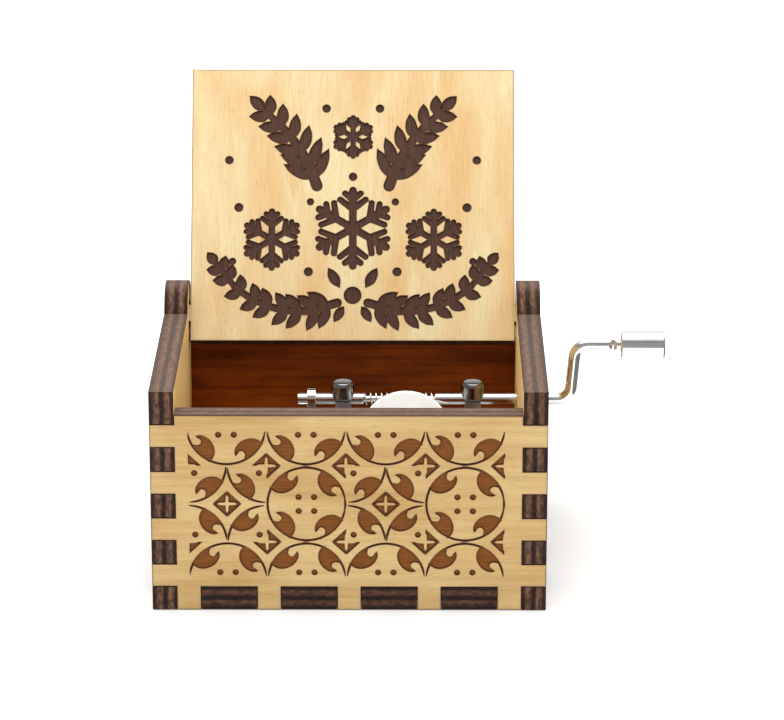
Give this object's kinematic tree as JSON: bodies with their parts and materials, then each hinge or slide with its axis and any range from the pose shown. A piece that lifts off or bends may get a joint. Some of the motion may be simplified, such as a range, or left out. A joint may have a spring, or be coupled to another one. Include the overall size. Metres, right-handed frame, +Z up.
{
  "type": "hand-cranked music box",
  "caption": "Finger-jointed plywood music box with a hinged engraved lid; a side crank turns a worm that drives a pinned cylinder past a steel comb.",
  "frame": {"origin": "centre of the case's underside", "axes": "+X to the right along the crank shaft towards the knob, -Y out of the front panel, +Z up"},
  "size_m": [0.0849, 0.0674, 0.0743],
  "materials": {
    "birch_ply": "pale plywood faces with charred laser-cut edges",
    "lid_ply": "light plywood, satin, with dark engraving",
    "stained_ply": "dark red-brown stained plywood",
    "bright_steel": "bright nickel-plated steel",
    "comb_steel": "ground spring steel",
    "cast_zinc": "satin zinc casting",
    "brass": "turned brass",
    "white_nylon": "white moulded nylon"
  },
  "bodies": {
    "case": {"front_panel": "birch_ply", "back_panel": "stained_ply", "left_panel": "birch_ply", "right_panel": "birch_ply", "bottom_panel": "birch_ply", "movement_bedplate": "cast_zinc", "bearing_cap_left": "bright_steel", "bearing_cap_right": "bright_steel", "end_bracket": "bright_steel", "front_bracket": "cast_zinc", "tuned_comb": "comb_steel", "comb_riser": "brass", "comb_screw_front": "bright_steel", "comb_screw_middle": "bright_steel", "comb_screw_rear": "bright_steel", "end_bracket_screw": "bright_steel", "front_bracket_screw": "bright_steel", "case_screw_left": "bright_steel", "case_screw_right": "bright_steel", "case_screw_rear": "bright_steel"},
    "lid": {"lid_panel": "lid_ply"},
    "crank": {"crank_shaft": "bright_steel", "knob_retainer": "bright_steel"},
    "knob": {"crank_knob": "bright_steel"},
    "cylinder": {"pinned_cylinder": "comb_steel", "cylinder_cap": "brass", "worm_wheel": "white_nylon", "cylinder_arbor": "bright_steel", "arbor_collar": "brass"}
  },
  "joints": [
    {"name": "lid_hinge", "type": "hinge", "parent": "case", "child": "lid", "pos_m": [0, 0.02, 0.0355], "axis": [1, 0, 0], "range_deg": [-88, 117]},
    {"name": "crank_turn", "type": "hinge", "parent": "case", "child": "crank", "pos_m": [0, 0.01, 0.0238], "axis": [1, 0, 0], "continuous": true},
    {"name": "knob_spin", "type": "hinge", "parent": "crank", "child": "knob", "pos_m": [0.0454, 0.01, 0.0336], "axis": [1, 0, 0], "continuous": true},
    {"name": "cylinder_spin", "type": "hinge", "parent": "case", "child": "cylinder", "pos_m": [0.0092, 0, 0.0181], "axis": [0, 1, 0], "continuous": true}
  ],
  "couplings": [
    {"joint": "cylinder_spin", "follows": "crank_turn", "ratio": -0.03125}
  ]
}
